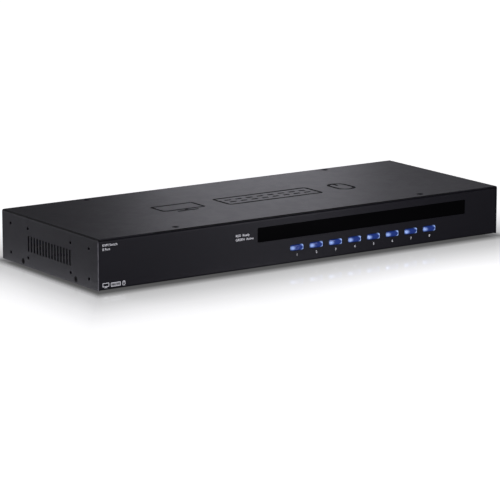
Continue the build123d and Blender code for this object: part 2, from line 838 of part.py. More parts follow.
def make_jackscrews():
    """The hexagonal screws beside each port, tapped for the cable's thumbscrews."""
    y_end = y_rear_face + jack_height
    with BuildPart() as port_jackscrews:
        with BuildSketch(facing_front(y_end)):
            with Locations(*jack_positions):
                RegularPolygon(jack_flats / 2, 6, major_radius=False)
        extrude(amount=jack_height)
        with BuildSketch(facing_front(y_rear_face)):
            with Locations(*jack_positions):
                Circle(jack_shank_radius)
        extrude(amount=jack_shank)
        with BuildSketch(facing_front(y_end)):
            with Locations(*jack_positions):
                Circle(jack_thread_radius)
        extrude(amount=jack_thread_depth, mode=Mode.SUBTRACT)
    save(port_jackscrews, "port_jackscrews")


def make_din_jack(name, x):
    """A six-pin round socket with its ring groove, pin holes and key slot."""
    with BuildPart() as jack:
        with BuildSketch(facing_front(y_rear_inner)):
            with Locations((x, din_z)):
                Rectangle(din_width, din_height)
        extrude(amount=din_depth)
        with BuildSketch(facing_front(y_rear_inner)):
            with Locations((x, din_z)):
                Circle(din_boss_radius)
        extrude(amount=-(y_rear_face - y_rear_inner + wall_setback))
        with BuildSketch(facing_front(y_rear)):
            with Locations((x, din_z)):
                Circle(din_ring_outer)
                Circle(din_ring_inner, mode=Mode.SUBTRACT)
                with PolarLocations(din_pin_circle, din_pins, start_angle=180 / din_pins):
                    Circle(din_pin_radius)
            with Locations((x, din_z)):
                Rectangle(din_key_width, din_key_height)
        extrude(amount=din_socket_depth, mode=Mode.SUBTRACT)
    save(jack, name)


def make_power_jack():
    """The low-voltage inlet: a round socket with a pin in the middle."""
    with BuildPart() as power_jack:
        with BuildSketch(facing_front(y_rear_inner)):
            with Locations((power_jack_x, power_z)):
                Rectangle(power_width, power_height)
        extrude(amount=power_depth)
        with BuildSketch(facing_front(y_rear_inner)):
            with Locations((power_jack_x, power_z)):
                Circle(power_boss_radius)
        extrude(amount=-(y_rear - y_rear_inner))
        with BuildSketch(facing_front(y_rear)):
            with Locations((power_jack_x, power_z)):
                Circle(power_socket_radius)
        extrude(amount=power_socket_depth, mode=Mode.SUBTRACT)
    save(power_jack, "power_jack")
    with BuildPart() as power_pin:
        with BuildSketch(facing_front(y_rear - power_socket_depth)):
            with Locations((power_jack_x, power_z)):
                Circle(power_pin_radius)
        extrude(amount=-power_pin_length)
        fillet(power_pin.edges().group_by(Axis.Y)[-1], power_pin_radius / 2)
    save(power_pin, "power_jack_pin")


os.makedirs("parts", exist_ok=True)
make_top_cover()
make_base_tray()
make_feet()
make_case_screws()
make_display_window()
make_button_guide()
make_buttons()
make_switch_plungers()
make_switch_bodies()
make_front_leds()
make_led_shroud()
make_bank_display()
make_front_board()
make_front_standoffs()
make_board_screws()
make_main_board()
make_components()
make_ribbon()
make_ports("pc_port", pc_port_xs)
make_ports("chain_port", [chain_port_x])
make_ports("console_port", [console_port_x])
make_jackscrews()
make_din_jack("mouse_jack", mouse_jack_x)
make_din_jack("keyboard_jack", keyboard_jack_x)
make_power_jack()
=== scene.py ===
"""Finish, printing and studio for an eight-port KVM switch, laid out as a Blender add-on.

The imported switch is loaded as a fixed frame. The operators give every part its finish, add the
printed numbers, signs and small details, and set up a plain studio. Lengths are in metres.
"""

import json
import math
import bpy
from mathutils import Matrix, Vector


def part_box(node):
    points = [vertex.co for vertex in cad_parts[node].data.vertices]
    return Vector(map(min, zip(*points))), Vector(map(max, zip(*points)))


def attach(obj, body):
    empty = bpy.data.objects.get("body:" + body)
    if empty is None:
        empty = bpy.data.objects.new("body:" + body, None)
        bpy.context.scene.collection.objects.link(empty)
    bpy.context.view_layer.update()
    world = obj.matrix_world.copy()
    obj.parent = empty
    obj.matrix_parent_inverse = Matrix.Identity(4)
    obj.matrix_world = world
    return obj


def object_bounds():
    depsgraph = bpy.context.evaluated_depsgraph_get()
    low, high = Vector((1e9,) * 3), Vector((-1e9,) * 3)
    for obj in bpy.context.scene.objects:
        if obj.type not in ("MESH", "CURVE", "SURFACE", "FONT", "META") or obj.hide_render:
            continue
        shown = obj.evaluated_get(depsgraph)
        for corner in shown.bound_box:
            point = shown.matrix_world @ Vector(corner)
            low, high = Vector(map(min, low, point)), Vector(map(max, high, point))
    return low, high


bl_info = {
    "name": "KVM Switch Finish",
    "version": (1, 0, 0),
    "blender": (4, 5, 0),
    "location": "View3D > Sidebar > KVM Switch",
    "description": "Finishes, printing and a studio for an eight-port KVM switch",
    "category": "Object",
}

import bmesh
import bpy
from bpy.props import FloatProperty, FloatVectorProperty, PointerProperty, StringProperty
from mathutils import Matrix, Vector

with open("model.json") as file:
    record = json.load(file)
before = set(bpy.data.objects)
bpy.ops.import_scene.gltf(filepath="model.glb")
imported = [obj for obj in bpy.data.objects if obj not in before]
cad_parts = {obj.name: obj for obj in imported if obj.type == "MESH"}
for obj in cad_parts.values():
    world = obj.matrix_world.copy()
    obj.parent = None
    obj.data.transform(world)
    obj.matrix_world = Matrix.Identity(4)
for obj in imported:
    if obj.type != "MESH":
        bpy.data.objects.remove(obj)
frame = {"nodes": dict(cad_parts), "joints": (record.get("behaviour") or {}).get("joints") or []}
cad_low, cad_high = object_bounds()

CHASSIS = "chassis"
MM = 0.001
BUTTON_COUNT = len(frame["joints"])
BUTTONS = [f"button_{number}" for number in range(1, BUTTON_COUNT + 1)]
PLUNGERS = [f"switch_plunger_{number}" for number in range(1, BUTTON_COUNT + 1)]
FRONT_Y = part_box("base_tray")[0].y
REAR_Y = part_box("base_tray")[1].y
COVER_LOW, COVER_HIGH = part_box("top_cover")
CAP_WIDTH, CAP_HEIGHT = 14.0 * MM, 4.9 * MM
LAMP_TINT = (0.98, 0.97, 1.06)
# Soft boxes: name, place, target, size, and power in watts.
LAMPS = (
    ("back_low", (0.49, 0.72, 0.26), (0.0, 0.0, 0.046), 0.25, 0.31),
    ("back_right", (0.61, 0.54, 0.47), (0.06, 0.0, 0.046), 0.25, 0.19),
    ("front_near", (0.09, -0.28, 0.08), (-0.05, -0.083, 0.01), 0.10, 0.12),
    ("left_back", (-0.70, 0.70, 0.25), (-0.215, 0.0, 0.02), 0.40, 2.3),
    ("fill", (-0.45, -1.20, 0.45), (0.0, -0.083, 0.02), 0.50, 8.5),
    ("right", (1.00, -0.15, 0.25), (0.06, -0.083, 0.02), 0.30, 0.9),
    ("rear_fill", (-0.55, 1.30, 0.80), (0.0, 0.08, 0.02), 0.60, 4.0),
)
# Shares of the polished reach, each with how much of a mirror the floor is there. The same share cuts the
# floor's own light, so near the switch it also paints a shadow round it.
MIRROR_AND_SHADE = ((0.0, 0.90), (0.05, 0.72), (0.10, 0.50), (0.20, 0.42), (0.30, 0.32), (0.40, 0.23), (0.58, 0.11),
          (0.76, 0.03), (1.0, 0.0))
# Where the floor's added light starts and stops growing, in polished reaches. Growing away from the switch,
# it leaves painted shade round it.
FAR_START, FAR_END = 1.0, 3.0
# Widths of the signs, as shares of their height.
SCREEN_SHARE, KEYBOARD_SHARE, MOUSE_SHARE = 1.5, 2.3, 0.62
# Printing on the front: levels above the floor, and distances to what it stands by.
KEY_LEVELS = (32.8 * MM, 29.2 * MM)
TITLE_LEVELS = (40.5 * MM, 37.0 * MM)
SIGN_LEVEL = 6.1 * MM
NUMBER_DROP = 6.5 * MM
KEY_LEAD = 21.0 * MM
TITLE_INSET = 4.5 * MM
FRONT_SIGN_HEIGHT = 4.2 * MM
SIGN_GAP = 0.45
# Printing on the rear.
REAR_PRINT_RISE = 3.6 * MM
REAR_SIGN_HEIGHT = 4.0 * MM
# From the wall to the middle of the ink, as a share of its thickness, so that it bites into the wall.
INK_OFFSET = 0.4


def centre_of(node):
    """The middle of a part's box at rest."""
    low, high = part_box(node)
    return (low + high) / 2


# ---- Settings ----------------------------------------------------------------------------------
class KvmPaintSettings(bpy.types.PropertyGroup):
    """Powder coat of the steel case."""

    colour: FloatVectorProperty(
        name="Paint", description="Colour of the powder coat", subtype="COLOR", size=3,
        min=0, max=1, default=(0.0070, 0.0065, 0.0092))
    # Painted highlight: the upright edges of the cover are drawn pale, as if they caught light.
    rubbed: FloatVectorProperty(
        name="Rubbed edge", description="Colour of the coat where edges are handled", subtype="COLOR",
        size=3, min=0, max=1, default=(0.200, 0.195, 0.210))
    rub_width: FloatProperty(
        name="Rub width", description="How far the rubbed edge reaches on each face", subtype="DISTANCE",
        unit="LENGTH", default=1.0 * MM, min=0.0)
    # Painted shade: the coat is drawn near black in the pressed marks and along the side bends.
    dull: FloatVectorProperty(
        name="Dull coat", description="Colour of the coat in the marks and on the side bends",
        subtype="COLOR", size=3, min=0, max=1, default=(0.002, 0.002, 0.002))
    dull_roughness: FloatProperty(
        name="Dull roughness", description="Roughness of the coat in the marks and on the side bends",
        subtype="FACTOR", default=0.95, min=0, max=1)
    mark_reach: FloatProperty(
        name="Mark reach", description="Half the width of the area with the pressed marks",
        subtype="DISTANCE", unit="LENGTH", default=160 * MM, min=0)
    mark_depth: FloatProperty(
        name="Mark depth", description="Depth down to which the pressed marks in the top stay matt",
        subtype="DISTANCE", unit="LENGTH", default=1.0 * MM, min=0.0)
    grain: FloatProperty(
        name="Grain size", description="Spacing of the coat's fine texture", subtype="DISTANCE",
        unit="LENGTH", default=0.55 * MM, min=0.0001)
    smooth: FloatProperty(
        name="Smoothest", description="Roughness of the coat where it is most polished",
        subtype="FACTOR", default=0.44, min=0, max=1)
    rough: FloatProperty(
        name="Roughest", description="Roughness of the coat where it is most matt",
        subtype="FACTOR", default=0.462, min=0, max=1)


class KvmCapSettings(bpy.types.PropertyGroup):
    """Translucent caps of the push buttons."""

    deep: FloatVectorProperty(
        name="Deep blue", description="Colour in the body of a cap", subtype="COLOR", size=3,
        min=0, max=1, default=(0.008, 0.027, 0.160))
    # Painted highlight: the pale blue at a cap's ends stands in for light caught there.
    pale: FloatVectorProperty(
        name="Pale blue", description="Colour where light gathers at a cap's end", subtype="COLOR",
        size=3, min=0, max=1, default=(0.33, 0.48, 0.88))
    # Painted glow: the caps give off light of their own, though they are no lamps.
    glow: FloatProperty(
        name="Glow", description="Light that a cap passes on by itself", subtype="FACTOR",
        default=0.36, min=0, max=4)


class KvmPrintSettings(bpy.types.PropertyGroup):
    """Printing on the front and rear walls."""

    ink: FloatVectorProperty(
        name="Ink", description="Colour of the printing", subtype="COLOR", size=3,
        min=0, max=1, default=(0.80, 0.80, 0.82))
    # Painted glow: the ink gives off light of its own so that the print reads brighter.
    brightness: FloatProperty(
        name="Brightness", description="Light that the ink adds by itself, as fluorescent white does",
        default=0.20, min=0, max=2)
    thickness: FloatProperty(
        name="Ink thickness", description="How far the printing stands off the wall",
        subtype="DISTANCE", unit="LENGTH", default=0.04 * MM, min=0.0)
    number_height: FloatProperty(
        name="Number height", description="Height of the numbers under the buttons",
        subtype="DISTANCE", unit="LENGTH", default=2.2 * MM, min=0.0)
    word_height: FloatProperty(
        name="Word height", description="Height of the words on the front", subtype="DISTANCE",
        unit="LENGTH", default=2.1 * MM, min=0.0)
    title: StringProperty(name="Title", description="First line at the top left", default="KVM Switch")
    subtitle: StringProperty(name="Second line", description="Second line there", default="8 Port")
    upper_key: StringProperty(name="Upper key", description="What a red lamp says", default="RED  Ready")
    lower_key: StringProperty(name="Lower key", description="What a green lamp says", default="GREEN  Active")


class KvmStageSettings(bpy.types.PropertyGroup):
    """Floor, lamps and camera."""

    floor: FloatVectorProperty(
        name="Floor", description="Colour of the floor", subtype="COLOR", size=3,
        min=0, max=1, default=(0.40, 0.40, 0.40))
    floor_lift: FloatProperty(
        name="Floor lift", description="Light that the floor adds by itself towards the camera",
        default=0.885, min=0, max=2)
    # Painted shade round the switch: the floor is given more light of its own away from it.
    far_lift: FloatProperty(
        name="Far lift", description="What is added to the floor lift away from the switch",
        default=0.15, min=0, max=2)
    # These reaches also set how far the painted shadow round the switch spreads.
    polish_sides: FloatProperty(
        name="Polish at the sides", description="How far the floor is polished beside the switch",
        subtype="DISTANCE", unit="LENGTH", default=113 * MM, min=0.001)
    polish_ends: FloatProperty(
        name="Polish front and back", description="How far the floor is polished before and behind it",
        subtype="DISTANCE", unit="LENGTH", default=165 * MM, min=0.001)
    sky: FloatVectorProperty(
        name="Surroundings", description="Colour of the room around the stage", subtype="COLOR",
        size=3, min=0, max=1, default=(0.095, 0.094, 0.101))
    light: FloatProperty(
        name="Light", description="Share of each soft box's own power", default=1.0, min=0)
    lens: FloatProperty(
        name="Lens", description="Focal length on a 36 mm wide sensor", default=208.49, min=1)
    camera: FloatVectorProperty(
        name="Camera", description="Where the camera stands", subtype="TRANSLATION", unit="LENGTH",
        size=3, default=(-1.4514, -2.1138, 0.5413))
    heading: FloatProperty(
        name="Heading", description="How far the camera turns to the right of straight on",
        subtype="ANGLE", default=math.radians(34.411))
    tilt: FloatProperty(
        name="Tilt", description="How far the camera looks down", subtype="ANGLE",
        default=math.radians(11.979))


class KvmSettings(bpy.types.PropertyGroup):
    """All settings of the switch."""

    paint: PointerProperty(type=KvmPaintSettings)
    cap: PointerProperty(type=KvmCapSettings)
    printing: PointerProperty(type=KvmPrintSettings)
    stage: PointerProperty(type=KvmStageSettings)


# ---- Shader helpers ----------------------------------------------------------------------------
def new_group(name, inputs, outputs):
    """An empty shader node group with float or vector inputs and float outputs."""
    group = bpy.data.node_groups.new(name, "ShaderNodeTree")
    for label, kind, value in inputs:
        socket = group.interface.new_socket(name=label, in_out="INPUT", socket_type=kind)
        socket.default_value = value
    for label in outputs:
        group.interface.new_socket(name=label, in_out="OUTPUT", socket_type="NodeSocketFloat")
    return group, group.nodes.new("NodeGroupInput"), group.nodes.new("NodeGroupOutput")


def math_node(tree, operation, first, second=None):
    """A math node whose inputs are sockets or numbers. Returns its output."""
    node = tree.nodes.new("ShaderNodeMath")
    node.operation = operation
    for slot, value in enumerate((first, second)):
        if value is None:
            continue
        if isinstance(value, (int, float)):
            node.inputs[slot].default_value = value
        else:
            tree.links.new(value, node.inputs[slot])
    return node.outputs[0]


def vector_node(tree, operation, first, second=None):
    """A vector math node between sockets. Returns its output."""
    node = tree.nodes.new("ShaderNodeVectorMath")
    node.operation = operation
    for slot, socket in enumerate((first, second)):
        if socket is not None:
            tree.links.new(socket, node.inputs[slot])
    return node.outputs[0]


def place_axes(tree):
    """The sockets X, Y and Z of a spot in the part's own space."""
    place = tree.nodes.new("ShaderNodeTexCoord")
    split = tree.nodes.new("ShaderNodeSeparateXYZ")
    tree.links.new(place.outputs["Object"], split.inputs[0])
    return split.outputs


def noise_node(tree, scale, detail=2.0, distortion=0.0):
    """Noise in the part's own space. Scale is a socket or a number. Returns its value."""
    place = tree.nodes.new("ShaderNodeTexCoord")
    noise = tree.nodes.new("ShaderNodeTexNoise")
    noise.inputs["Detail"].default_value = detail
    noise.inputs["Distortion"].default_value = distortion
    tree.links.new(place.outputs["Object"], noise.inputs["Vector"])
    if isinstance(scale, (int, float)):
        noise.inputs["Scale"].default_value = scale
    else:
        tree.links.new(scale, noise.inputs["Scale"])
    return noise.outputs["Fac"]


def smooth_range(tree, value, low, high):
    """A smooth step from 0 at low to 1 at high."""
    node = tree.nodes.new("ShaderNodeMapRange")
    node.interpolation_type = "SMOOTHSTEP"
    for name, number in (("From Min", low), ("From Max", high)):
        if isinstance(number, (int, float)):
            node.inputs[name].default_value = number
        else:
            tree.links.new(number, node.inputs[name])
    tree.links.new(value, node.inputs["Value"])
    return node.outputs["Result"]


def distance_to(tree, along, up, centre, along_scale, up_scale):
    """How far a spot is from a centre on the level of the middle, with each way scaled."""
    across = math_node(tree, "MULTIPLY", math_node(tree, "SUBTRACT", along, centre), along_scale)
    rise = math_node(tree, "MULTIPLY", up, up_scale)
    square = math_node(tree, "ADD", math_node(tree, "MULTIPLY", across, across),
                       math_node(tree, "MULTIPLY", rise, rise))
    return math_node(tree, "SQRT", square)


def build_grain_group():
    """Fine raised grain and a slow variation, both from 0 to 1."""
    group, given, made = new_group(
        "surface_grain", [("Size", "NodeSocketFloat", 0.0005)], ["Height", "Variation"])
    scale = math_node(group, "DIVIDE", 1.0, given.outputs["Size"])
    slow = math_node(group, "DIVIDE", 0.02, given.outputs["Size"])
    group.links.new(noise_node(group, scale, detail=3.0), made.inputs["Height"])
    group.links.new(noise_node(group, slow, detail=4.0, distortion=0.6), made.inputs["Variation"])
    return group


def build_marks_group():
    """Roughness that wanders between two values, as faint handling marks do."""
    group, given, made = new_group(
        "handling_marks",
        [("Scale", "NodeSocketFloat", 70.0), ("Low", "NodeSocketFloat", 0.4),
         ("High", "NodeSocketFloat", 0.5)],
        ["Roughness"])
    cloud = noise_node(group, given.outputs["Scale"], detail=5.0, distortion=1.2)
    wander = smooth_range(group, cloud, 0.35, 0.65)
    span = math_node(group, "SUBTRACT", given.outputs["High"], given.outputs["Low"])
    group.links.new(
        math_node(group, "ADD", math_node(group, "MULTIPLY", wander, span), given.outputs["Low"]),
        made.inputs["Roughness"])
    return group


def build_edge_group():
    """A mask along the upright edges of a box, broken up by noise, for a painted highlight on those edges."""
    group, given, made = new_group(
        "edge_highlight_mask",
        [("Centre", "NodeSocketVector", (0, 0, 0)), ("Half Size", "NodeSocketVector", (1, 1, 1)),
         ("Width", "NodeSocketFloat", 0.001)],
        ["Mask"])
    place = group.nodes.new("ShaderNodeTexCoord")
    from_centre = vector_node(group, "SUBTRACT", place.outputs["Object"], given.outputs["Centre"])
    depth = vector_node(group, "SUBTRACT", given.outputs["Half Size"],
                        vector_node(group, "ABSOLUTE", from_centre))
    split = group.nodes.new("ShaderNodeSeparateXYZ")
    group.links.new(depth, split.inputs[0])
    corner = math_node(group, "MAXIMUM", split.outputs["X"], split.outputs["Y"])
    near = math_node(group, "SUBTRACT", 1.0, smooth_range(group, corner, 0.0, given.outputs["Width"]))
    breaks = smooth_range(group, noise_node(group, 220.0, detail=4.0), 0.25, 0.60)
    group.links.new(math_node(group, "MULTIPLY", near, breaks), made.inputs["Mask"])
    return group


GROUP_MAKERS = {
    "surface_grain": build_grain_group,
    "handling_marks": build_marks_group,
    "edge_highlight_mask": build_edge_group,
}


def place_group(tree, name, **values):
    """Puts a shared group in a material with its own values."""
    group = bpy.data.node_groups.get(name) or GROUP_MAKERS[name]()
    node = tree.nodes.new("ShaderNodeGroup")
    node.node_tree = group
    for label, value in values.items():
        node.inputs[label.replace("_", " ").title()].default_value = value
    return node


def mix_colour(tree, mask, first, second):
    """A blend from the first colour to the second. Either is a socket or a colour."""
    node = tree.nodes.new("ShaderNodeMix")
    node.data_type = "RGBA"
    tree.links.new(mask, node.inputs["Factor"])
    for label, colour in (("A", first), ("B", second)):
        socket = next(s for s in node.inputs if s.name == label and s.type == "RGBA")
        if isinstance(colour, bpy.types.NodeSocket):
            tree.links.new(colour, socket)
        else:
            socket.default_value = (*colour, 1.0)
    return next(s for s in node.outputs if s.type == "RGBA")


def add_bump(tree, shader, height, distance):
    """Raises the surface by a height from 0 to 1 times a distance."""
    bump = tree.nodes.new("ShaderNodeBump")
    bump.inputs["Distance"].default_value = distance
    tree.links.new(height, bump.inputs["Height"])
    tree.links.new(bump.outputs["Normal"], shader.inputs["Normal"])


def finish_material(name, colour, second, size, low, high, bump, metallic=0.0, specular=0.5, coat=0.0):
    """A finish with slow colour variation, wandering roughness and fine grain."""
    material = bpy.data.materials.new(name)
    material.use_nodes = True
    tree = material.node_tree
    shader = tree.nodes["Principled BSDF"]
    shader.inputs["Metallic"].default_value = metallic
    shader.inputs["Specular IOR Level"].default_value = specular
    shader.inputs["Coat Weight"].default_value = coat
    grain = place_group(tree, "surface_grain", size=size)
    marks = place_group(tree, "handling_marks", low=low, high=high)
    tree.links.new(
        mix_colour(tree, grain.outputs["Variation"], colour, second), shader.inputs["Base Color"])
    tree.links.new(marks.outputs["Roughness"], shader.inputs["Roughness"])
    add_bump(tree, shader, grain.outputs["Height"], bump)
    return material


def shade(nodes, material):
    """Gives parts a finish without touching their shape."""
    for name in nodes:
        part = frame["nodes"][name]
        if not part.material_slots:
            raise RuntimeError(f"{name} has no material slot")
        for slot in part.material_slots:
            slot.material = material


# ---- Finishes of the case ----------------------------------------------------------------------
def powder_coat(paint):
    """Satin black powder coat with a painted highlight on upright edges, and painted shade, dark and matt, in
    the marks and on the side bends.
    """
    material = finish_material(
        "powder_coat_black", paint.colour, [1.12 * c for c in paint.colour], size=paint.grain,
        low=paint.smooth, high=paint.rough, bump=0.040 * MM, specular=0.34)
    tree = material.node_tree
    shader = tree.nodes["Principled BSDF"]
    coat_colour = shader.inputs["Base Color"].links[0].from_socket
    coat_roughness = shader.inputs["Roughness"].links[0].from_socket
    middle = (COVER_LOW + COVER_HIGH) / 2
    # Painted highlight: pale coat colour along the upright edges, broken up by noise.
    highlight_node = place_group(tree, "edge_highlight_mask", centre=middle, half_size=(COVER_HIGH - COVER_LOW) / 2,
                      width=paint.rub_width)
    rubbed = mix_colour(tree, highlight_node.outputs["Mask"], coat_colour, paint.rubbed)
    spot = place_axes(tree)
    sunk = math_node(tree, "SUBTRACT", COVER_HIGH.z, spot["Z"])
    pressed = smooth_range(tree, sunk, 0.05 * MM, 0.45 * MM)
    shallow = math_node(tree, "LESS_THAN", sunk, paint.mark_depth)
    off_centre = math_node(tree, "ABSOLUTE", math_node(tree, "SUBTRACT", spot["X"], middle.x))
    inside = math_node(tree, "LESS_THAN", off_centre, paint.mark_reach)
    marks = math_node(tree, "MULTIPLY", math_node(tree, "MULTIPLY", pressed, shallow), inside)
    to_side = math_node(tree, "SUBTRACT", COVER_HIGH.x - middle.x, off_centre)
    bend_start, bend_end = 1.0 * MM, 2.0 * MM
    off_bend = math_node(tree, "MAXIMUM", smooth_range(tree, to_side, bend_start, bend_end),
                         smooth_range(tree, sunk, bend_start, bend_end))
    # Painted shade: darker, matt coat in the pressed marks and in a dark line along the top side bends.
    dull = math_node(tree, "MAXIMUM", marks, math_node(tree, "SUBTRACT", 1.0, off_bend))
    tree.links.new(mix_colour(tree, dull, rubbed, paint.dull), shader.inputs["Base Color"])
    matt = math_node(tree, "MULTIPLY", dull, paint.dull_roughness)
    tree.links.new(math_node(tree, "MAXIMUM", coat_roughness, matt), shader.inputs["Roughness"])
    return material


def rubber():
    """Matt black rubber with a fine pebble."""
    return finish_material("foot_rubber", (0.016, 0.016, 0.016), (0.024, 0.023, 0.022),
                           size=0.6 * MM, low=0.70, high=0.85, bump=0.05 * MM, specular=0.3)


def black_screw():
    """Black oxide steel, darker than the paint."""
    return finish_material("black_oxide", (0.0045, 0.0045, 0.0050), (0.0090, 0.0086, 0.0090),
                           size=0.3 * MM, low=0.50, high=0.65, bump=0.008 * MM, specular=0.06)


# ---- Finishes of the front ---------------------------------------------------------------------
def smoked_acrylic():
    """Polished smoked acrylic, almost black, with hairline wiping marks."""
    return finish_material("smoked_acrylic", (0.0012, 0.0012, 0.0014), (0.0020, 0.0019, 0.0022),
                           size=1.5 * MM, low=0.04, high=0.09, bump=0.0015 * MM, specular=0.03)


def translucent_blue(cap):
    """Polished blue plastic with a painted glow, and a painted highlight at its left end and round its right
    rim.
    """
    material = bpy.data.materials.new("translucent_blue")
    material.use_nodes = True
    tree = material.node_tree
    shader = tree.nodes["Principled BSDF"]
    shader.inputs["Coat Weight"].default_value = 0.6
    shader.inputs["Coat Roughness"].default_value = 0.06
    shader.inputs["Emission Strength"].default_value = cap.glow
    first, last = centre_of(BUTTONS[0]), centre_of(BUTTONS[-1])
    pitch = (last.x - first.x) / (BUTTON_COUNT - 1)
    half_width, half_height = CAP_WIDTH / 2, CAP_HEIGHT / 2
    spot = place_axes(tree)
    from_first = math_node(tree, "SUBTRACT", spot["X"], first.x - pitch / 2)
    turn = math_node(tree, "FRACT", math_node(tree, "DIVIDE", from_first, pitch))
    along = math_node(tree, "MULTIPLY", math_node(tree, "SUBTRACT", turn, 0.5), pitch / half_width)
    up = math_node(tree, "DIVIDE", math_node(tree, "SUBTRACT", spot["Z"], first.z), half_height)
    # Painted highlight: pale blue at the left end and round the right rim, in colour and glow alike.
    from_left = distance_to(tree, along, up, centre=-0.80, along_scale=1.6, up_scale=0.95)
    left_highlight = math_node(tree, "SUBTRACT", 1.0, smooth_range(tree, from_left, 0.05, 0.95))
    from_right = distance_to(tree, along, up, centre=0.30, along_scale=1.5, up_scale=0.95)
    right_rim = smooth_range(tree, from_right, 0.62, 0.95)
    right_highlight = math_node(tree, "MULTIPLY", right_rim, smooth_range(tree, along, 0.35, 0.75))
    highlights = math_node(tree, "MAXIMUM", left_highlight, right_highlight)
    cloud = smooth_range(tree, noise_node(tree, 420.0, detail=3.0), 0.25, 0.75)
    cloud_share = 0.2
    clouded = math_node(tree, "ADD", 1.0 - cloud_share, math_node(tree, "MULTIPLY", cloud, cloud_share))
    mask = math_node(tree, "MULTIPLY", highlights, clouded)
    colour = mix_colour(tree, mask, cap.deep, cap.pale)
    tree.links.new(colour, shader.inputs["Base Color"])
    tree.links.new(colour, shader.inputs["Emission Color"])
    marks = place_group(tree, "handling_marks", scale=160.0, low=0.10, high=0.18)
    grain = place_group(tree, "surface_grain", size=0.8 * MM)
    tree.links.new(marks.outputs["Roughness"], shader.inputs["Roughness"])
    add_bump(tree, shader, grain.outputs["Height"], 0.003 * MM)
    return material


def moulded(name, colour):
    """Moulded plastic with a fine spark texture."""
    return finish_material(name, colour, [1.25 * c for c in colour],
                           size=0.35 * MM, low=0.38, high=0.55, bump=0.012 * MM)


def lamp_lens(name, colour):
    """The tinted lens of a lamp."""
    return finish_material(name, colour, [1.4 * c for c in colour],
                           size=0.8 * MM, low=0.08, high=0.16, bump=0.002 * MM, coat=0.5)


# ---- Finishes of the boards and ports ----------------------------------------------------------
def solder_mask():
    """Green board with fine parallel tracks under its lacquer."""
    material = finish_material("solder_mask", (0.008, 0.060, 0.026), (0.012, 0.085, 0.036),
                               size=0.5 * MM, low=0.25, high=0.38, bump=0.006 * MM, coat=0.3)
    tree = material.node_tree
    shader = tree.nodes["Principled BSDF"]
    mask_colour = shader.inputs["Base Color"].links[0].from_socket
    place = tree.nodes.new("ShaderNodeTexCoord")
    tracks = tree.nodes.new("ShaderNodeTexBrick")
    tracks.offset = 0.37
    tracks.inputs["Scale"].default_value = 1.0
    tracks.inputs["Brick Width"].default_value = 23.0 * MM
    tracks.inputs["Row Height"].default_value = 1.3 * MM
    tracks.inputs["Mortar Size"].default_value = 0.28 * MM
    tree.links.new(place.outputs["Object"], tracks.inputs["Vector"])
    tree.links.new(
        mix_colour(tree, tracks.outputs["Fac"], mask_colour, (0.020, 0.150, 0.060)),
        shader.inputs["Base Color"])
    return material


def ribbed_cable():
    """Grey flat cable, one rib for each wire, with a red first wire."""
    material = finish_material("ribbed_cable", (0.30, 0.30, 0.31), (0.36, 0.36, 0.36),
                               size=0.8 * MM, low=0.40, high=0.52, bump=0.01 * MM)
    tree = material.node_tree
    shader = tree.nodes["Principled BSDF"]
    low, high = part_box("ribbon_cable")
    wires = 20
    grey = shader.inputs["Base Color"].links[0].from_socket
    from_edge = math_node(tree, "SUBTRACT", place_axes(tree)["X"], low.x)
    turn = math_node(tree, "MULTIPLY", from_edge, 2 * math.pi * wires / (high.x - low.x))
    rib = math_node(tree, "ABSOLUTE", math_node(tree, "SINE", math_node(tree, "MULTIPLY", turn, 0.5)))
    add_bump(tree, shader, rib, 0.25 * MM)
    first_wire = math_node(tree, "LESS_THAN", from_edge, (high.x - low.x) / wires)
    tree.links.new(mix_colour(tree, first_wire, grey, (0.45, 0.03, 0.02)), shader.inputs["Base Color"])
    return material


def metal(name, colour, low, high):
    """Plated or turned metal."""
    return finish_material(name, colour, [0.88 * c for c in colour],
                           size=0.5 * MM, low=low, high=high, bump=0.004 * MM, metallic=1.0)


# ---- Mesh helpers ------------------------------------------------------------------------------
def add_piece(name, bm, material):
    """Turns a bmesh into a piece that rides on the chassis."""
    bmesh.ops.remove_doubles(bm, verts=bm.verts, dist=1e-7)
    bmesh.ops.recalc_face_normals(bm, faces=bm.faces)
    mesh = bpy.data.meshes.new(name)
    bm.to_mesh(mesh)
    bm.free()
    mesh.materials.append(material)
    piece = bpy.data.objects.new(name, mesh)
    bpy.context.scene.collection.objects.link(piece)
    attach(piece, CHASSIS)


def wall_matrix(x, y, z, facing_rear=False):
    """Places a flat drawing on the front wall, or turned round on the rear wall."""
    turn = Matrix.Rotation(math.pi, 4, "Z") if facing_rear else Matrix.Identity(4)
    return Matrix.Translation((x, y, z)) @ turn @ Matrix.Rotation(math.pi / 2, 4, "X")


def add_words(bm, words, height, thickness, matrix, align="LEFT"):
    """Adds raised lettering of a given capital height."""
    capital_share = 0.70
    curve = bpy.data.curves.new("lettering", "FONT")
    curve.body = words
    curve.size = height / capital_share
    curve.align_x = align
    curve.align_y = "CENTER"
    curve.extrude = thickness / 2
    curve.resolution_u = 4
    holder = bpy.data.objects.new("lettering", curve)
    bpy.context.scene.collection.objects.link(holder)
    bpy.context.view_layer.update()
    graph = bpy.context.evaluated_depsgraph_get()
    mesh = bpy.data.meshes.new_from_object(holder.evaluated_get(graph))
    mesh.transform(matrix)
    bm.from_mesh(mesh)
    bpy.data.objects.remove(holder)
    bpy.data.curves.remove(curve)
    bpy.data.meshes.remove(mesh)


def rounded_loop(width, height, corner, steps=5):
    """Points round a rounded rectangle, about the origin."""
    points = []
    for turn, (sx, sy) in enumerate(((1, 1), (-1, 1), (-1, -1), (1, -1))):
        for step in range(steps + 1):
            angle = math.pi / 2 * (turn + step / steps)
            points.append((sx * (width / 2 - corner) + corner * math.cos(angle),
                           sy * (height / 2 - corner) + corner * math.sin(angle)))
    return points


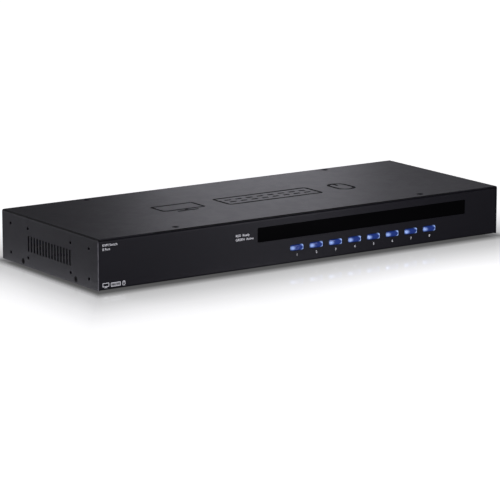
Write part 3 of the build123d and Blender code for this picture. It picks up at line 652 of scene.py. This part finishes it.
def add_ring(bm, width, height, corner, stroke, thickness, matrix):
    """Adds a closed raised line round a rounded rectangle."""
    outer = rounded_loop(width, height, corner)
    inner = rounded_loop(width - 2 * stroke, height - 2 * stroke, max(corner - stroke, 0.2 * corner))
    loops = [[bm.verts.new(matrix @ Vector((x, y, z))) for x, y in points]
             for points, z in ((outer, thickness / 2), (inner, thickness / 2),
                               (inner, -thickness / 2), (outer, -thickness / 2))]
    count = len(outer)
    for first, second in zip(loops, loops[1:] + loops[:1]):
        for i in range(count):
            j = (i + 1) % count
            bm.faces.new((first[i], first[j], second[j], second[i]))


def add_block(bm, low, high, matrix=Matrix.Identity(4)):
    """Adds a closed block between two corners."""
    size = Vector(high) - Vector(low)
    middle = (Vector(high) + Vector(low)) / 2
    place = Matrix.Translation(middle) @ Matrix.Diagonal((*size, 1))
    bmesh.ops.create_cube(bm, size=1.0, matrix=matrix @ place)


def add_bar(bm, x, y, width, height, thickness, matrix):
    """Adds a flat raised bar about x, y."""
    add_block(bm, (x - width / 2, y - height / 2, -thickness / 2),
              (x + width / 2, y + height / 2, thickness / 2), matrix)


def draw_screen(bm, height, thickness, matrix):
    """A screen on its foot."""
    line = 0.10 * height
    add_ring(bm, SCREEN_SHARE * height, 0.78 * height, 0.1 * height, line, thickness,
             matrix @ Matrix.Translation((0, 0.11 * height, 0)))
    add_bar(bm, 0, -0.36 * height, line, 0.16 * height, thickness, matrix)
    add_bar(bm, 0, -0.47 * height, 0.7 * height, 0.08 * height, thickness, matrix)


def draw_keyboard(bm, height, thickness, matrix):
    """A keyboard with two rows of keys."""
    line = 0.10 * height
    add_ring(bm, KEYBOARD_SHARE * height, 0.8 * height, 0.12 * height, line, thickness, matrix)
    for row in (-0.13, 0.15):
        for key in range(6):
            add_bar(bm, (key - 2.5) * 0.31 * height, row * height, 0.16 * height, line, thickness, matrix)


def draw_mouse(bm, height, thickness, matrix):
    """A mouse with its wheel."""
    width = MOUSE_SHARE * height
    add_ring(bm, width, height, 0.49 * width, 0.10 * height, thickness, matrix)
    add_bar(bm, 0, 0.2 * height, 0.09 * height, 0.26 * height, thickness, matrix)


# ---- Operators ---------------------------------------------------------------------------------
class KVM_OT_case(bpy.types.Operator):
    """Paint the cover and the tray, and finish the screws and the feet"""

    bl_idname = "kvm.case"
    bl_label = "Finish the case"

    def execute(self, context):
        shade(["top_cover", "base_tray"], powder_coat(context.scene.kvm.paint))
        shade(["top_screws", "side_screws"], black_screw())
        shade([name for name in frame["nodes"] if name.startswith("foot_")], rubber())
        return {"FINISHED"}


class KVM_OT_front(bpy.types.Operator):
    """Finish the window, the button caps and the lamps behind the front wall"""

    bl_idname = "kvm.front"
    bl_label = "Finish the front"

    def execute(self, context):
        shade(["display_window"], smoked_acrylic())
        shade(BUTTONS, translucent_blue(context.scene.kvm.cap))
        shade(["button_guide", "led_shroud", "switch_bodies", *PLUNGERS],
              moulded("moulded_black", (0.014, 0.014, 0.015)))
        shade(["bank_display"], moulded("display_grey", (0.055, 0.055, 0.060)))
        shade(["red_leds"], lamp_lens("lamp_red", (0.40, 0.02, 0.015)))
        shade(["green_leds"], lamp_lens("lamp_green", (0.03, 0.32, 0.05)))
        return {"FINISHED"}


class KVM_OT_boards(bpy.types.Operator):
    """Finish the boards and the components on them"""

    bl_idname = "kvm.boards"
    bl_label = "Finish the boards"

    def execute(self, context):
        shade(["front_board", "main_board"], solder_mask())
        shade(["port_chips", "controller_chip", "buzzer", "regulator", "front_header", "main_header"],
              moulded("package_black", (0.020, 0.020, 0.022)))
        shade(["capacitors"], metal("capacitor_sleeve", (0.10, 0.12, 0.22), 0.35, 0.45))
        shade(["crystal", "front_standoffs", "front_board_screws", "main_board_screws"],
              metal("zinc_plate", (0.58, 0.58, 0.56), 0.24, 0.36))
        shade(["main_standoffs"], metal("turned_brass", (0.60, 0.42, 0.16), 0.25, 0.35))
        shade(["ribbon_cable"], ribbed_cable())
        return {"FINISHED"}


class KVM_OT_ports(bpy.types.Operator):
    """Finish the ports and sockets on the rear wall"""

    bl_idname = "kvm.ports"
    bl_label = "Finish the ports"

    def execute(self, context):
        shade(["pc_port_shells", "chain_port_shell", "console_port_shell"],
              metal("bright_nickel", (0.66, 0.65, 0.62), 0.16, 0.28))
        shade(["port_jackscrews"], metal("zinc_hex", (0.62, 0.60, 0.55), 0.22, 0.34))
        shade(["pc_port_inserts", "console_port_insert"], moulded("port_blue", (0.012, 0.045, 0.26)))
        shade(["chain_port_insert"], moulded("port_black", (0.016, 0.016, 0.017)))
        shade(["mouse_jack"], moulded("socket_green", (0.03, 0.24, 0.08)))
        shade(["keyboard_jack"], moulded("socket_purple", (0.13, 0.04, 0.24)))
        shade(["power_jack"], moulded("inlet_black", (0.013, 0.013, 0.014)))
        shade(["power_jack_pin"], metal("inlet_pin", (0.72, 0.70, 0.66), 0.12, 0.20))
        return {"FINISHED"}


class KVM_OT_front_print(bpy.types.Operator):
    """Print the numbers, the lamp key, the title and the signs on the front wall"""

    bl_idname = "kvm.front_print"
    bl_label = "Print the front"

    def execute(self, context):
        look = context.scene.kvm.printing
        ink = finish_material("printed_ink", look.ink, [0.9 * c for c in look.ink],
                              size=0.4 * MM, low=0.45, high=0.6, bump=0.004 * MM)
        shader = ink.node_tree.nodes["Principled BSDF"]
        # Painted glow on the ink.
        shader.inputs["Emission Color"].default_value = (*look.ink, 1.0)
        shader.inputs["Emission Strength"].default_value = look.brightness
        y = FRONT_Y - INK_OFFSET * look.thickness
        numbers = bmesh.new()
        for number, button in enumerate(BUTTONS, start=1):
            middle = centre_of(button)
            add_words(numbers, str(number), look.number_height, look.thickness,
                      wall_matrix(middle.x, y, middle.z - NUMBER_DROP), "CENTER")
        add_piece("front_numbers", numbers, ink)
        key_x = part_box("display_window")[0].x - KEY_LEAD
        left = COVER_LOW.x + TITLE_INSET
        for piece, x, lines in (
                ("lamp_key", key_x, zip((look.upper_key, look.lower_key), KEY_LEVELS)),
                ("title", left, zip((look.title, look.subtitle), TITLE_LEVELS))):
            words = bmesh.new()
            for line, level in lines:
                add_words(words, line, look.word_height, look.thickness, wall_matrix(x, y, level))
            add_piece(piece, words, ink)
        signs = bmesh.new()
        height = FRONT_SIGN_HEIGHT
        x = left
        for draw, share in ((draw_screen, SCREEN_SHARE), (draw_keyboard, KEYBOARD_SHARE),
                            (draw_mouse, MOUSE_SHARE)):
            draw(signs, height, look.thickness, wall_matrix(x + share * height / 2, y, SIGN_LEVEL))
            x += (share + SIGN_GAP) * height
        add_piece("front_signs", signs, ink)
        return {"FINISHED"}


class KVM_OT_rear_print(bpy.types.Operator):
    """Print the port numbers and the socket signs on the rear wall"""

    bl_idname = "kvm.rear_print"
    bl_label = "Print the rear"

    def execute(self, context):
        look = context.scene.kvm.printing
        ink = bpy.data.materials["printed_ink"]
        y = REAR_Y + INK_OFFSET * look.thickness
        port_low, port_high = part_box("chain_port_shell")
        half_port = (port_high.x - port_low.x) / 2
        row_low, row_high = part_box("pc_port_shells")
        pitch = (row_high.x - row_low.x - 2 * half_port) / (BUTTON_COUNT - 1)
        above = row_high.z + REAR_PRINT_RISE
        numbers = bmesh.new()
        for number in range(1, BUTTON_COUNT + 1):
            x = row_high.x - half_port - (number - 1) * pitch
            add_words(numbers, str(number), look.number_height, look.thickness,
                      wall_matrix(x, y, above, True), "CENTER")
        add_piece("rear_numbers", numbers, ink)
        signs = bmesh.new()
        for node, draw in (("console_port_shell", draw_screen), ("mouse_jack", draw_mouse),
                           ("keyboard_jack", draw_keyboard)):
            draw(signs, REAR_SIGN_HEIGHT, look.thickness,
                 wall_matrix(centre_of(node).x, y, above, True))
        add_piece("rear_signs", signs, ink)
        return {"FINISHED"}


class KVM_OT_stage(bpy.types.Operator):
    """Set up the floor, the lamps, the surroundings and the camera"""

    bl_idname = "kvm.stage"
    bl_label = "Set up the stage"

    def execute(self, context):
        stage = context.scene.kvm.stage
        make_floor(stage)
        make_surroundings(stage)
        for name, place, target, size, power in LAMPS:
            make_lamp(name, place, target, size, power * stage.light)
        camera = bpy.data.objects.new("camera", bpy.data.cameras.new("camera"))
        camera.data.lens = stage.lens
        camera.location = stage.camera
        camera.rotation_euler = (math.pi / 2 - stage.tilt, 0, -stage.heading)
        context.scene.collection.objects.link(camera)
        context.scene.camera = camera
        context.scene.view_settings.view_transform = "Standard"
        return {"FINISHED"}


def make_floor(stage):
    """A wide pale floor under the feet."""
    bm = bmesh.new()
    bmesh.ops.create_grid(bm, x_segments=2, y_segments=2, size=20.0)
    mesh = bpy.data.meshes.new("floor")
    bm.to_mesh(mesh)
    bm.free()
    floor = bpy.data.objects.new("floor", mesh)
    floor.location.z = cad_low.z
    bpy.context.scene.collection.objects.link(floor)
    mesh.materials.append(floor_finish(stage))


def floor_finish(stage):
    """White board that is polished near the switch and brightens itself towards the camera; its own light is
    cut near the switch and raised away from it, which paints a shadow round the switch.
    """
    material = finish_material("floor", stage.floor, [0.99 * c for c in stage.floor],
                               size=6.0 * MM, low=0.03, high=0.06, bump=0.001 * MM, specular=0.0)
    tree = material.node_tree
    shader = tree.nodes["Principled BSDF"]
    spot = place_axes(tree)
    away = None
    for axis, reach in (("X", stage.polish_sides), ("Y", stage.polish_ends)):
        side = "XYZ".index(axis)
        middle = (COVER_LOW[side] + COVER_HIGH[side]) / 2
        half = (COVER_HIGH[side] - COVER_LOW[side]) / 2
        off = math_node(tree, "ABSOLUTE", math_node(tree, "SUBTRACT", spot[axis], middle))
        beyond = math_node(tree, "DIVIDE", math_node(tree, "SUBTRACT", off, half), reach)
        away = beyond if away is None else math_node(tree, "MAXIMUM", away, beyond)
    ramp = tree.nodes.new("ShaderNodeValToRGB")
    tree.links.new(away, ramp.inputs["Fac"])
    stops = ramp.color_ramp.elements
    for position, _ in MIRROR_AND_SHADE[1:-1]:
        stops.new(position)
    for stop, (position, share) in zip(stops, MIRROR_AND_SHADE):
        stop.position = position
        stop.color = (share, share, share, 1)
    mirror_and_shade = ramp.outputs["Color"]
    tree.links.new(mirror_and_shade, shader.inputs["Metallic"])
    shader.inputs["Emission Color"].default_value = (1, 1, 1, 1)
    seen = tree.nodes.new("ShaderNodeLightPath")
    far = math_node(tree, "MULTIPLY", smooth_range(tree, away, FAR_START, FAR_END), stage.far_lift)
    lift = math_node(tree, "MULTIPLY", seen.outputs["Is Camera Ray"],
                     math_node(tree, "ADD", far, stage.floor_lift))
    # Painted shadow: the floor's own light is cut where it is polished, near the switch.
    tree.links.new(math_node(tree, "MULTIPLY", lift, math_node(tree, "SUBTRACT", 1.0, mirror_and_shade)),
                   shader.inputs["Emission Strength"])
    return material


def make_surroundings(stage):
    """A dim even room."""
    world = bpy.data.worlds.new("studio")
    world.use_nodes = True
    background = world.node_tree.nodes["Background"]
    background.inputs["Color"].default_value = (*stage.sky, 1.0)
    background.inputs["Strength"].default_value = 1.0
    bpy.context.scene.world = world


def make_lamp(name, place, target, size, power):
    """A square soft box that points at a target and isn't seen itself."""
    data = bpy.data.lights.new(name, "AREA")
    data.size = size
    data.energy = power
    data.color = LAMP_TINT
    lamp = bpy.data.objects.new(name, data)
    lamp.location = place
    lamp.rotation_euler = (Vector(target) - Vector(place)).to_track_quat("-Z", "Y").to_euler()
    lamp.visible_camera = False
    bpy.context.scene.collection.objects.link(lamp)


class KVM_PT_switch(bpy.types.Panel):
    """Buttons for each step, in the sidebar"""

    bl_idname = "KVM_PT_switch"
    bl_label = "KVM Switch"
    bl_space_type = "VIEW_3D"
    bl_region_type = "UI"
    bl_category = "KVM Switch"

    def draw(self, context):
        settings = context.scene.kvm
        for operator in OPERATORS:
            self.layout.operator(operator.bl_idname)
        for group in (settings.paint, settings.cap, settings.printing, settings.stage):
            box = self.layout.box()
            for name in group.bl_rna.properties.keys():
                if name not in ("rna_type", "name"):
                    box.prop(group, name)


SETTINGS = (KvmPaintSettings, KvmCapSettings, KvmPrintSettings, KvmStageSettings, KvmSettings)
OPERATORS = (KVM_OT_case, KVM_OT_front, KVM_OT_boards, KVM_OT_ports, KVM_OT_front_print,
             KVM_OT_rear_print, KVM_OT_stage)


def register():
    """Makes the classes known to Blender."""
    for item in (*SETTINGS, *OPERATORS, KVM_PT_switch):
        bpy.utils.register_class(item)
    bpy.types.Scene.kvm = PointerProperty(type=KvmSettings)


def unregister():
    """Removes the classes again."""
    del bpy.types.Scene.kvm
    for item in reversed((*SETTINGS, *OPERATORS, KVM_PT_switch)):
        bpy.utils.unregister_class(item)


def main():
    """Runs every step in order."""
    register()
    for operator in OPERATORS:
        group, name = operator.bl_idname.split(".")
        getattr(getattr(bpy.ops, group), name)()


if __name__ == "__main__":
    main()
